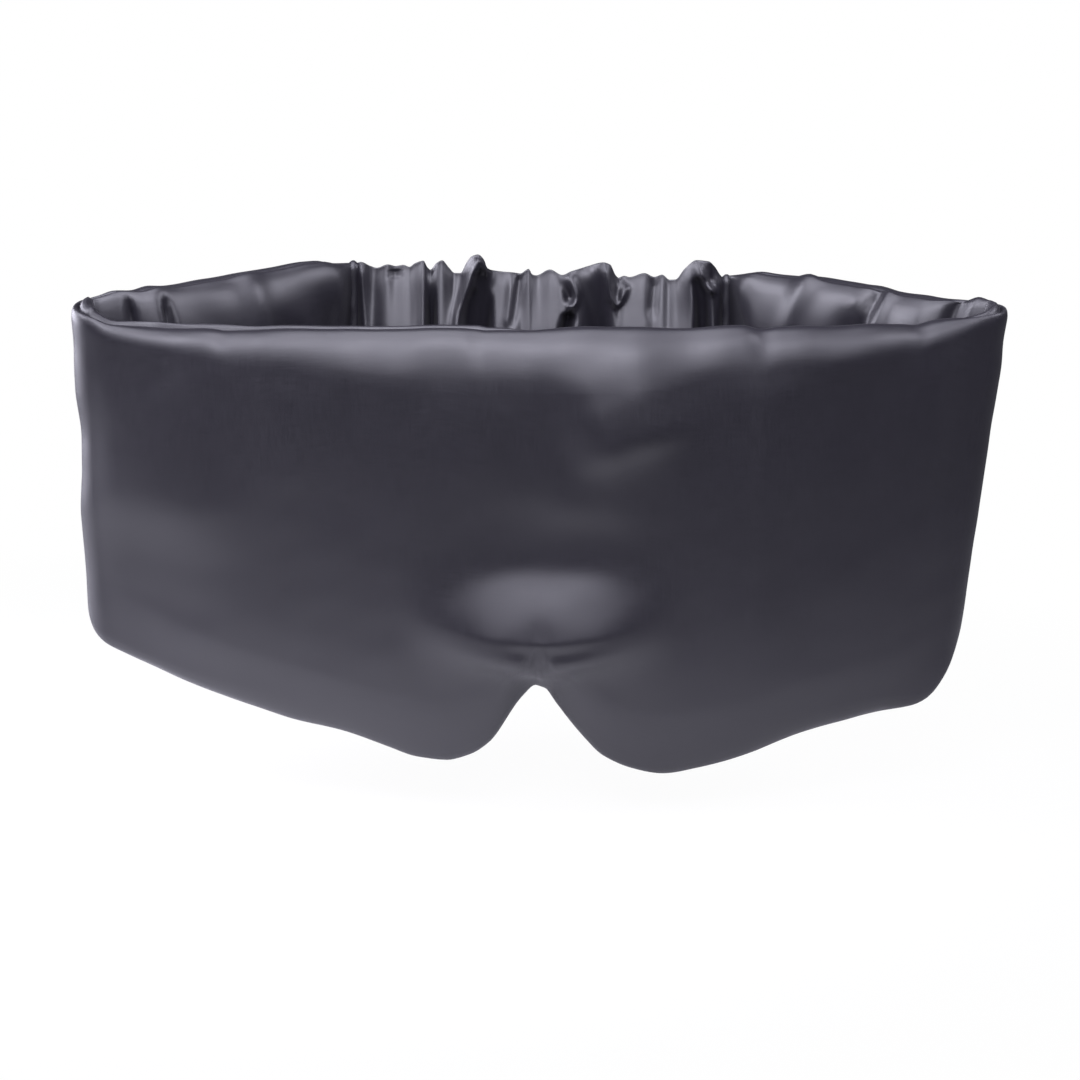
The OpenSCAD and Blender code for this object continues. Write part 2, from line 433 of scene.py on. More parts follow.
@dataclass(frozen=True)
class Satin:
    """A satin finish: dark cloth with a soft gloss, a fine weave and faint slubs.

    Attributes:
        name: Name of the material.
        colour: Colour of the cloth.
        pale: Colour of its paler threads.
        gloss: Roughness of the smoothest threads.
        matt: Roughness of the least smooth threads.
        nap: Weight of the soft sheen.
    """

    name: str
    colour: Colour
    pale: Colour
    gloss: float
    matt: float
    nap: float

    THREADS_PER_M = 2600.0
    THREAD_STRETCH = 0.06
    THREAD_DETAIL = 2.0
    CLOUDS_PER_M = 28.0
    CLOUD_DETAIL = 3.0
    CLOUDING = 0.35
    STREAK = 0.5
    FAINT, STRONG = 0.3, 0.7
    ANISOTROPY = 0.35
    SPECULAR = 0.55
    NAP_ROUGHNESS = 0.45
    BUMP = 0.12
    BUMP_MM = 0.12

    def material(self) -> Material:
        """Makes the material's nodes.

        Returns:
            The finished material.
        """
        made = bpy.data.materials.new(self.name)
        board = Board(made)
        place = board.add("UVMap", "UV", {}, uv_map=CLOTH_MAP)
        threads = []
        for stretch in ((1.0, self.THREAD_STRETCH), (self.THREAD_STRETCH, 1.0)):
            scale = (stretch[0] * self.THREADS_PER_M, stretch[1] * self.THREADS_PER_M, 1.0)
            spread = board.add("Mapping", "Vector", {"Vector": place, "Scale": scale})
            noise = {"Vector": spread, "Scale": 1.0, "Detail": self.THREAD_DETAIL}
            threads.append(board.add("TexNoise", "Fac", noise))
        weave = board.blend(*threads, self.STREAK)
        noise = {"Vector": place, "Scale": self.CLOUDS_PER_M, "Detail": self.CLOUD_DETAIL}
        tint = board.blend(weave, board.add("TexNoise", "Fac", noise), self.CLOUDING)
        span = {"From Min": self.FAINT, "From Max": self.STRONG, "To Min": self.gloss, "To Max": self.matt}
        weave_bump = {"Height": weave, "Strength": self.BUMP, "Distance": self.BUMP_MM * MM}
        board.feed(board.nodes["Principled BSDF"], {
            "Base Color": board.ramp(tint, (self.FAINT, self.colour), (self.STRONG, self.pale)),
            "Roughness": board.add("MapRange", "Result", {"Value": weave, **span}),
            "Normal": board.add("Bump", "Normal", weave_bump),
            "Tangent": board.add("Tangent", "Tangent", {}, direction_type="UV_MAP", uv_map=CLOTH_MAP),
            "Anisotropic": self.ANISOTROPY,
            "Specular IOR Level": self.SPECULAR,
            "Sheen Weight": self.nap,
            "Sheen Roughness": self.NAP_ROUGHNESS,
        })
        return made


@dataclass(frozen=True)
class Webbing:
    """A woven elastic finish with ribs along its length and painted shade in the grooves between them.

    Attributes:
        name: Name of the material.
        colour: Colour of the covered threads.
    """

    name: str
    colour: Colour

    RIBS_PER_M = 900.0
    WAVER = 0.6
    GROOVE_PAINTED_SHADE = 0.75
    BUMP = 0.4
    BUMP_MM = 0.2
    ROUGHNESS = 0.75

    def material(self) -> Material:
        """Makes the material's nodes.

        Returns:
            The finished material.
        """
        made = bpy.data.materials.new(self.name)
        board = Board(made)
        place = board.add("UVMap", "UV", {}, uv_map=CLOTH_MAP)
        wave = {"Vector": place, "Scale": self.RIBS_PER_M / 2, "Distortion": self.WAVER}
        ribs = board.add("TexWave", "Fac", wave, bands_direction="Y")
        rib_bump = {"Height": ribs, "Strength": self.BUMP, "Distance": self.BUMP_MM * MM}
        # The grooves between the ribs are darkened as painted shade
        painted_groove_shade = tuple(self.GROOVE_PAINTED_SHADE * c for c in self.colour)
        board.feed(board.nodes["Principled BSDF"], {
            "Base Color": board.ramp(ribs, (0.0, painted_groove_shade), (1.0, self.colour)),
            "Normal": board.add("Bump", "Normal", rib_bump),
            "Roughness": self.ROUGHNESS,
        })
        return made


def cloth_mesh(name: str, grid: Array, uv: Array, capped: bool, normals: Array | None = None) -> Piece:
    """Makes an object from a grid of points whose last row joins the first.

    Args:
        name: Name of the piece.
        grid: Points in millimetres, as columns of rows, wound so that its faces look outwards.
        uv: Place of each point on the flat cloth, in millimetres, with the first row again at the end.
        capped: Whether the first and last column are closed with a fan of faces.
        normals: Normal of each point, where it isn't the mesh's own.

    Returns:
        The object, linked to the scene.
    """
    columns, rows = grid.shape[:2]
    points = list(grid.reshape(-1, 3) * MM)
    across = rejoin(np.arange(columns * rows).reshape(columns, rows))
    quads = np.stack([across[:-1, :-1], across[1:, :-1], across[1:, 1:], across[:-1, 1:]], -1)
    faces = quads.reshape(-1, 4).tolist()
    flat = [uv[:-1, :-1], uv[1:, :-1], uv[1:, 1:], uv[:-1, 1:]]
    corners = list(np.stack(flat, 2).reshape(-1, 2) * MM)
    if capped:
        for column, turn in ((0, 1), (columns - 1, -1)):
            points.append(grid[column].mean(0) * MM)
            middle = len(points) - 1
            for a, b in zip(across[column, :-1], across[column, 1:]):
                faces.append([middle, a, b][::turn])
                corners += [uv[column, 0] * MM] * 3
    mesh = bpy.data.meshes.new(name)
    mesh.from_pydata(points, [], faces)
    layer = mesh.uv_layers.new(name=CLOTH_MAP)
    layer.data.foreach_set("uv", np.array(corners, np.float32).ravel())
    mesh.polygons.foreach_set("use_smooth", [True] * len(mesh.polygons))
    if normals is not None:
        every = np.concatenate([normals.reshape(-1, 3), np.zeros((len(points) - columns * rows, 3))])
        mesh.normals_split_custom_set_from_vertices(every)
    mesh.update()
    piece = bpy.data.objects.new(name, mesh)
    bpy.context.scene.collection.objects.link(piece)
    return piece


def grid_normals(grid: Array) -> Array:
    """Outward normals of a grid of points whose last row joins the first.

    Args:
        grid: Points, as columns of rows.

    Returns:
        A unit vector for each point.
    """
    up = (np.roll(grid, -1, 1) - np.roll(grid, 1, 1)) / 2
    normal = np.cross(np.gradient(grid, axis=0), up)
    return normal / np.maximum(np.linalg.norm(normal, axis=-1, keepdims=True), 1e-9)


@dataclass
class Pad:
    """The padded loop: front, side folds and both wings, cover outside and lining inside.

    A place along the loop is X on the front, then goes round the fold, then along the wing.

    Attributes:
        pattern: Main measures of the mask.
        fold_span: Length of a fold along the loop.
        cover_depth: Depth of the cover's face over the seam line on the front.
        fold_depth: The same at the side folds.
        wing_depth: The same on the wings.
        end_depth: The same where a wing meets the band.
        cover_swell: Crown of the front's outer face.
        wing_swell: Crown of a wing's outer face.
        lining_swell: Crown of the inner faces.
        lining_depth: Depth of the lining's rolled edge behind the seam on the front.
        lining_roll: Height of that edge.
        wing_lining_depth: Depth of the lining's rolled edge on a wing.
        wing_lining_roll: Height of that edge.
        raise_middle: How far the lower edge is raised in the middle of the front.
        left_lean: How far the left fold leans in for each millimetre down.
        right_lean: The same for the right fold.
        lower_edge: The front's lower outline.
        low_line: The same without the notch, from which the crown rises.
        roll: Height of the cover's rolled edges along the loop.
        rim_height: Height of the front's upper edge.
        lining_height: How far the lining's upper edge lies over the cover's.
        top_turn: Angle through which the cover rolls over at the top, in degrees.
        left_wing_top: Height of the left wing's upper edge, by distance from the fold.
        right_wing_top: The same for the right wing.
        nose: The rise over the nose.
        mottle: Unevenness of the stuffed cloth.
        cover_creases: Creases of the outer face.
        lining_creases: Creases of the inner face.
    """

    pattern: Pattern
    fold_span: float = 16.0
    cover_depth: float = 8.8
    fold_depth: float = 8.0
    wing_depth: float = 7.5
    end_depth: float = 2.6
    cover_swell: float = 3.6
    wing_swell: float = 2.2
    lining_swell: float = 2.6
    lining_depth: float = 3.4
    lining_roll: float = 11.0
    wing_lining_depth: float = 6.5
    wing_lining_roll: float = 17.0
    raise_middle: float = 0.7
    left_lean: float = 0.022
    right_lean: float = 0.115
    lower_edge: Points = (
        (-119, -21.5), (-113.3, -27.2), (-105.4, -31.6), (-93.6, -37.4), (-78, -42.8), (-62, -47.4),
        (-50.5, -49.8), (-38.8, -53.8), (-31, -56.3), (-24, -57), (-18, -55.4), (-13, -52), (-4, -39),
        (-1, -36.2), (1, -36.8), (4, -41), (11.6, -51.1), (16, -55.6), (23.3, -59.1), (32, -60.7),
        (40, -59.6), (54.5, -55.7), (66.2, -51.6), (82, -48.2), (95, -45.8), (98.4, -44), (103, -37.6),
        (106, -31), (108.6, -26))
    low_line: Points = ((-119, -21.5), (-62, -47), (-24, -56), (32, -59), (82, -48), (112, -42))
    roll: Points = (
        (-130, 5.5), (-120, 3), (-112, 3.4), (-100, 4.5), (-85, 6.2), (-62, 9.5), (-25, 14.5), (20, 14),
        (52, 10), (80, 7.5), (100, 5.5), (112, 3), (120, 3), (130, 5.5))
    rim_height: Points = (
        (-118, 57.6), (-112, 56.6), (-107, 55.2), (-92, 55.1), (-60, 56.3), (-16, 57.3), (-13, 56.9),
        (0, 57.1), (50, 57.4), (55, 56.5), (59, 57), (75, 56.4), (90, 56.3), (95, 55.7), (99, 56.4),
        (107, 57.2), (113, 58))
    lining_height: Points = (
        (-200, 0.2), (-131, 0.6), (-124, 1.5), (-118, 1.2), (-112, 0.9), (-106, 0.6), (-80, 0.4),
        (-60, 0.2), (-16, 0.2), (20, -1.8), (80, -2.0), (106, -0.6), (112, 0.2), (119, 1.2), (125, 1.3),
        (132, 0.4), (200, 0.2))
    top_turn: Points = (
        (-140, 126), (-128, 152), (-108, 152), (-60, 148), (-10, 140), (20, 126), (104, 126), (114, 150),
        (126, 150), (138, 126))
    left_wing_top: Points = (
        (0, 59.6), (3, 60.2), (7, 61.2), (11, 60.9), (16, 61.8), (21, 61.5), (40, 62), (66, 62.9),
        (72, 61.6), (78, 61))
    right_wing_top: Points = (
        (0, 58.6), (8, 59.2), (14, 59), (26, 59.6), (31, 60.1), (36, 59.7), (52, 60.2), (57, 59.9), (66, 60),
        (72, 58.8), (78, 57.6))
    nose: NoseRise = NoseRise()
    mottle: Mottle = Mottle(0.22)
    cover_creases: tuple[Crease, ...] = (
        Crease(((-34, 5), (3, 3), (40, 7)), 13, -1.4, 0.4),
        Crease(((-12, -21.4), (1, -23.4), (18, -21.2)), 1.7, -0.6, 0.4),
        Crease(((1.5, -26), (1.5, -37)), 2.2, 0.8, 0.3),
        Crease(((3, 26), (20, 32), (42, 39)), 8.5, 3.1, 0.42, above=19),
        Crease(((-121, 38), (-121, 4)), 12, -1.2, 0.4),
        Crease(((-126, 20), (-100, 14), (-64, 12)), 13, 2, 0.4, above=18),
        Crease(((-4, 15), (14, 14), (30, 8)), 7, 0.7, 0.4, above=9),
        Crease(((-79, 60), (-78, 50)), 2.6, -0.4, 0.4),
        Crease(((-16, 60), (-15, 49)), 2.2, -0.3, 0.4),
    )
    lining_creases: tuple[Crease, ...] = (
        Crease(((-113, 64), (-115, 46)), 2.2, 0.7, 0.2),
        Crease(((-128, 66), (-127.5, 46)), 2, -0.6, 0.2),
        Crease(((-135.4, 61), (-135.8, 26)), 0.8, -1.8, 0.12),
        Crease(((-144.2, 61), (-145.6, 20)), 1.2, -2.4, 0.12),
        Crease(((-170.5, 68), (-172.5, 16)), 4, 1.2, 0.2),
        Crease(((-179, 55), (-178, 4)), 6, -2.4, 0.28),
        Crease(((-197, 60), (-196, -8)), 7, -3.6, 0.25),
        Crease(((156.5, 61), (158, 50), (158.5, 16)), 2.2, -2.2, 0.15),
        Crease(((159, 54), (163, 44), (163, 12)), 4.2, -2.4, 0.2),
        Crease(((153.6, 66), (154.2, 20)), 2.2, 1, 0.2),
        Crease(((175, 48), (174, 4)), 6, -2, 0.25),
        Crease(((177, 66), (181, 44)), 3.2, 1.2, 0.2),
        Crease(((199, 60), (199, -8)), 5, -3.4, 0.25),
        Crease(((130, 66), (131, 44)), 2.4, 1.2, 0.2),
        Crease(((134.6, 62), (134.2, 36)), 1.8, -1.8, 0.2),
    )

    # Columns of half the loop: the middle, the rest of the front, the fold, the wing's near and far part
    COLUMNS = (42, 70, 23, 35, 39)
    MIDDLE_X = 24.0
    NEAR_WING = 26.0
    WING_SHORT = 1.0
    # Rows of a ring: cover's rolls and face, lining's rolls and face
    ROLL_ROWS, FACE_ROWS, LINING_ROLL_ROWS, LINING_ROWS = 14, 84, 10, 52
    # Lengths over which one part of the loop passes into the next
    CROOK_EASE = 15.0
    FOLD_EASE = 45.0
    END_EASE = 32.0
    TUCK_EASE = 8.0
    TOP_EASE = 6.0
    LEAN_FROM = 40.0
    LEAN_PAST = 8.0
    LEAN_BACK = 20.0
    LEAN_Z = -46.0
    # The seam in the crook of a fold, and the lining there and at the wing's end
    CROOK_SEAM = 5.8
    CROOK_LINING = 5.0
    TUCK = 0.85
    LINING_UP = 0.8
    LINING_TURN = (-0.6, 0.95)
    LOW_TURN = math.radians(125)
    # The crown, and how the lower edge pulls it in
    DOME = 4.0
    EDGE_PULL = 18.0
    NOTCH_EASE = 120
    # The filling's simulation, on every fourth column and second row
    STRIDES = (4, 2)
    FRAMES = 20
    MOST_MOVE = 2.5
    MOVE_ROUNDING = (4, 6)
    HELD_FROM_FOLD = (6.0, 12.0)
    FILLING = {
        "quality": 6, "mass": 0.002, "tension_stiffness": 5.0, "compression_stiffness": 5.0,
        "bending_stiffness": 0.05, "use_pressure": True, "uniform_pressure_force": 4.0,
        "vertex_group_mass": "held", "vertex_group_shrink": "loose", "shrink_min": 0.0, "shrink_max": -0.02,
    }
    # Where the unevenness is calmed
    CALM = 0.35
    RIM_BAND = (8.0, 24.0)
    FOLD_BAND = (12.0, 22.0)
    BEND_WAY = (-0.35, 0.94)
    BEND_SPAN = (0.4, 17)

    def __post_init__(self) -> None:
        """Lays out the columns of points: places along the loop and what holds all up each column."""
        fold = self.pattern.fold[0]
        wing = fold + self.fold_span
        end = wing + self.pattern.wing_length - self.WING_SHORT
        stops = (0, self.MIDDLE_X, fold, wing, wing + self.NEAR_WING, end)
        half = np.concatenate([np.linspace(a, b, n)[1:] for a, b, n in zip(stops, stops[1:], self.COLUMNS)])
        self.along = np.concatenate([-half[::-1], [0.0], half])[:, None]
        self.hand, self.far = np.sign(self.along), np.abs(self.along)
        self.back = np.maximum(self.far - fold - self.fold_span, 0)
        self.wing = ease(fold, wing, self.far)
        self.crook = ease(fold - self.CROOK_EASE, fold, self.far)
        self.crook = self.crook * (1 - ease(wing, wing + self.CROOK_EASE, self.far))
        self.low, self.top = self.heights()

    @property
    def cover_rows(self) -> int:
        """Number of points of a ring that lie on the cover, both seams included."""
        return 2 * self.ROLL_ROWS + self.FACE_ROWS + 1

    def plan(self) -> tuple[Array, Array]:
        """Seam line of the loop in plan.

        Returns:
            The point and the outward normal of each column.
        """
        p = self.pattern
        (fold_x, fold_y), angle = p.fold, p.wing_angle
        x = np.minimum(self.far, fold_x)
        bow = fold_y - p.front_y
        start = np.arctan(2 * bow * x / fold_x ** 2) - math.pi / 2
        facing = mix(start, math.pi / 2 - angle, np.clip((self.far - fold_x) / self.fold_span, 0, 1))
        point = np.stack([self.hand * (x - self.back * math.cos(angle)),
                          p.front_y + bow * (x / fold_x) ** 2 + self.back * math.sin(angle)], -1)
        normal = np.stack([self.hand * np.cos(facing), np.sin(facing)], -1)
        normal[self.hand == 0] = (0, -1)
        return point, normal

    def lean(self, up: Array | float) -> Array:
        """How far the sides of the mask lean in towards its middle.

        Args:
            up: Heights in each column.

        Returns:
            The shift at each height.
        """
        fold = self.pattern.fold[0]
        end = fold + self.fold_span + self.pattern.wing_length
        lean = np.where(self.hand < 0, self.left_lean, self.right_lean) * (self.pattern.top - up)
        fades = 1 - ease(fold + self.LEAN_BACK, end, self.far)
        return lean * (ease(self.LEAN_FROM, fold, self.far) * fades)

    def heights(self) -> tuple[Array, Array]:
        """Lower and upper edge of the loop.

        Returns:
            The lower and the upper height of each column.
        """
        p = self.pattern
        fold = p.fold[0]
        leaned = self.hand * (np.minimum(self.far, fold + self.LEAN_PAST) - self.lean(self.LEAN_Z))
        low = through(self.lower_edge, leaned) + self.raise_middle * (1 - np.minimum(self.far / fold, 1) ** 2)
        low = mix(low, p.band_low, np.sin(np.clip(self.back / p.wing_length, 0, 1) * math.pi / 2))
        tops = (through(points, self.back) for points in (self.left_wing_top, self.right_wing_top))
        wing = np.where(self.hand < 0, *tops)
        share = ease(fold - self.TOP_EASE, fold + self.fold_span, self.far)
        return low, through(self.rim_height, self.along) * (1 - share) + wing * share

    def cover_line(self) -> tuple[Array, Array]:
        """The cover's part of the cross-sections, from the lower seam to the upper one.

        Returns:
            Depths over the seam line and heights, a row of points for each column.
        """
        fold, end, low, top = self.pattern.fold[0], self.pattern.wing_length, self.low, self.top
        depth = mix(self.cover_depth, self.fold_depth, ease(fold - self.FOLD_EASE, fold, self.far))
        depth = mix(depth, self.wing_depth, self.wing)
        depth = mix(depth, self.end_depth, ease(end - self.END_EASE, end, self.back))
        over = depth - self.CROOK_SEAM * self.crook
        roll = through(self.roll, self.along)
        turn = np.radians(through(self.top_turn, self.along))
        down = np.linspace(-1, 0, self.ROLL_ROWS, endpoint=False) * self.LOW_TURN
        rise = np.linspace(0, 1, self.ROLL_ROWS + 1)[1:] * turn
        face = np.linspace(0, 1, self.FACE_ROWS + 1)
        depths = np.concatenate([
            depth + over / (1 - np.cos(self.LOW_TURN)) * (np.cos(down) - 1),
            depth + 0 * face,
            depth + over / (1 - np.cos(turn)) * (np.cos(rise) - 1)], 1)
        heights = np.concatenate([
            low + roll * (1 + np.sin(down)),
            low + roll + (top - low - 2 * roll) * face,
            top - roll * (1 - np.sin(rise))], 1)
        return depths, heights

    def lining_line(self, cover_up: Array) -> tuple[Array, Array]:
        """The lining's part of the cross-sections, from the upper seam down to the lower one.

        Args:
            cover_up: Heights of the cover's points.

        Returns:
            Depths over the seam line and heights, a row of points for each column.
        """
        end = self.pattern.wing_length
        tuck = ease(end - self.TUCK_EASE, end, self.back)
        behind = mix(self.lining_depth, self.wing_lining_depth, self.wing)
        behind = behind * (1 - self.TUCK * tuck) * (1 - self.crook) + self.CROOK_LINING * self.crook
        face_depth = self.CROOK_SEAM * self.crook - behind
        roll = mix(self.lining_roll, self.wing_lining_roll, self.wing)
        upper, lower = self.top + through(self.lining_height, self.along), self.low + self.LINING_UP
        rolls = []
        for edge, seam_z, sign in ((upper, cover_up[:, -1:], 1), (lower, cover_up[:, :1], -1)):
            first = np.arcsin(np.clip(1 - sign * (edge - seam_z) / roll, *self.LINING_TURN))
            angle = mix(first, math.pi, np.linspace(0, 1, self.LINING_ROLL_ROWS + 1)[1:-1])
            depth = face_depth + behind / (1 + np.cos(first)) * (1 + np.cos(angle))
            rolls.append((depth, edge - sign * roll * (1 - np.sin(angle))))
        (upper_d, upper_z), (lower_d, lower_z) = rolls
        face = np.linspace(0, 1, self.LINING_ROWS + 1)
        depths = np.concatenate([upper_d, face_depth + 0 * face, lower_d[:, ::-1]], 1)
        heights = np.concatenate([upper_z, mix(upper - roll, lower + roll, face), lower_z[:, ::-1]], 1)
        return depths, heights

    def section(self) -> tuple[Array, Array]:
        """Cross-sections of the pad with their crowns, round from the lower seam.

        Returns:
            Depths over the seam line and heights, a row of points for each column.
        """
        fold, wing, low, covered = self.pattern.fold[0], self.wing, self.low, self.cover_rows
        outer = self.cover_line()
        depths, heights = (np.concatenate(pair, 1) for pair in zip(outer, self.lining_line(outer[1])))
        foot = np.minimum(low, through(self.low_line, self.along) * (1 - wing) + low * wing)
        dome = 1 - np.abs(2 * np.clip((heights - foot) / (self.top - foot), 0, 1) - 1) ** self.DOME
        dome = dome * ease(0, self.EDGE_PULL, heights - soften(low, self.NOTCH_EASE, 0))
        aside = np.minimum(self.far, fold) / fold
        bulge = np.sin(np.clip(self.back / self.pattern.wing_length, 0, 1) * math.pi)
        crown = self.cover_swell * (1 - aside ** 4) * (1 - wing) + self.wing_swell * bulge * wing
        belly = self.lining_swell * ((1 - aside ** 3) * (1 - wing) + bulge * wing) * (1 - self.crook)
        depths[:, :covered] += crown * dome[:, :covered]
        depths[:, covered:] -= belly * dome[:, covered:]
        return depths, heights

    def shape(self) -> Array:
        """The pad before its filling presses on the cloth.

        Returns:
            Its points, as columns of closed rings.
        """
        depths, heights = self.section()
        point, normal = self.plan()
        plan = point + depths[..., None] * normal
        plan[..., 0] -= self.hand * self.lean(heights)
        return np.concatenate([plan, heights[..., None]], -1)

    def fill(self, grid: Array) -> Array:
        """Lets the filling press on the cloth in a short simulation, with seams and ends held.

        Args:
            grid: The pad's points.

        Returns:
            The points once the cloth has settled, each moved by a few millimetres at most.
        """
        columns, rows = self.STRIDES
        coarse = grid[::columns, ::rows]
        shape = coarse.shape[:2]
        bag = cloth_mesh("pad_bag", coarse, np.zeros((shape[0], shape[1] + 1, 2)), False)
        past, near = self.HELD_FROM_FOLD
        held = np.zeros(shape)
        held[[0, -1]] = 1
        held[:, [0, (self.cover_rows - 1) // rows]] = 1
        held[np.abs(self.far[::columns, 0] - self.pattern.fold[0] - past) < near] = 1
        loose = np.tile(np.arange(shape[1]) * rows >= self.cover_rows, (shape[0], 1))
        for name, weights in (("held", held), ("loose", loose)):
            group = bag.vertex_groups.new(name=name)
            group.add(np.flatnonzero(weights).tolist(), 1.0, "REPLACE")
        cloth = bag.modifiers.new("cloth", "CLOTH")
        for name, value in self.FILLING.items():
            setattr(cloth.settings, name, value)
        cloth.settings.effector_weights.gravity = 0.0
        cloth.point_cache.frame_start, cloth.point_cache.frame_end = 1, self.FRAMES
        scene = bpy.context.scene
        for number in range(1, self.FRAMES + 1):
            scene.frame_set(number)
        settled = bag.evaluated_get(bpy.context.evaluated_depsgraph_get()).data
        points = np.empty(3 * len(settled.vertices), np.float32)
        settled.vertices.foreach_get("co", points)
        scene.frame_set(1)
        mesh = bag.data
        bpy.data.objects.remove(bag)
        bpy.data.meshes.remove(mesh)
        move = points.reshape(coarse.shape) / MM - coarse
        size = np.linalg.norm(move, axis=-1, keepdims=True)
        log.info("the filling moves the cloth by up to %.2f mm, %.2f mm on average", size.max(), size.mean())
        move = move * self.MOST_MOVE / np.maximum(size, self.MOST_MOVE)
        for axis, passes in enumerate(self.MOVE_ROUNDING):
            move = soften(move, passes, axis)
        return grid + refine(refine(move, columns, 0, False), rows, 1, True)

    def creasing(self, grid: Array) -> Array:
        """How far the nose, the creases and the unevenness of the cloth lift the pad.

        Args:
            grid: The pad's points.

        Returns:
            The lift at each point.
        """
        up = grid[..., 2]
        place = self.along * np.ones(up.shape)
        on_cover = np.arange(grid.shape[1]) < self.cover_rows
        lift = np.zeros(up.shape)
        lift[:, on_cover] = self.nose.lift(place[:, on_cover], up[:, on_cover])
        calm = 1 - (1 - self.CALM) * ease(*self.RIM_BAND, self.top - up)
        from_fold = np.abs(np.abs(place) - self.pattern.fold[0] - self.fold_span / 2)
        lift += self.mottle.lift(place, up) * np.where(on_cover, calm, ease(*self.FOLD_BAND, from_fold))
        for rows, creases in ((on_cover, self.cover_creases), (~on_cover, self.lining_creases)):
            for crease in creases:
                lift[:, rows] += crease.lift(place[:, rows], up[:, rows])
        return lift

    def build(self) -> dict[str, Piece]:
        """Makes the front pad and the two wing pads.

        Returns:
            The pieces by name.
        """
        grid = self.shape()
        grid = self.fill(grid)
        grid = grid + self.creasing(grid)[..., None] * grid_normals(grid)
        normals = grid_normals(grid)
        girth = run_length(rejoin(grid))
        girth = girth - girth[:, self.cover_rows - 1:self.cover_rows]
        uv = np.stack([self.along * np.ones_like(girth), girth], -1)
        crest = self.pattern.fold[0] + self.fold_span / 2
        left, right = (int(np.abs(self.along - hand.value * crest).argmin()) for hand in Hand)
        parts = {"left_wing_pad": (0, left), "front_pad": (left, right), "right_wing_pad": (right, len(grid))}
        made = {}
        for name, (first, last) in parts.items():
            part = slice(first, last + 1)
            made[name] = cloth_mesh(name, grid[part], uv[part], True, normals[part])
        return made

    def dress(self, pieces: dict[str, Piece], satin: Material) -> None:
        """Gives the pieces their finish and ties the front pad to the frame.

        Args:
            pieces: The pieces by name.
            satin: Finish of cover and lining.
        """
        for piece in pieces.values():
            piece.data.materials.append(satin)
        front = pieces["front_pad"]
        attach(front, "front")
        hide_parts("front_cover", "front_wadding", "front_blackout", "front_lining")
        for hand in Hand:
            side = hand.word
            wing = pieces[f"{side}_wing_pad"]
            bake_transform(wing)
            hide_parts(f"{side}_wing_cover", f"{side}_wing_wadding", f"{side}_wing_lining",
                        f"{side}_fold_cover", f"{side}_fold_wadding")


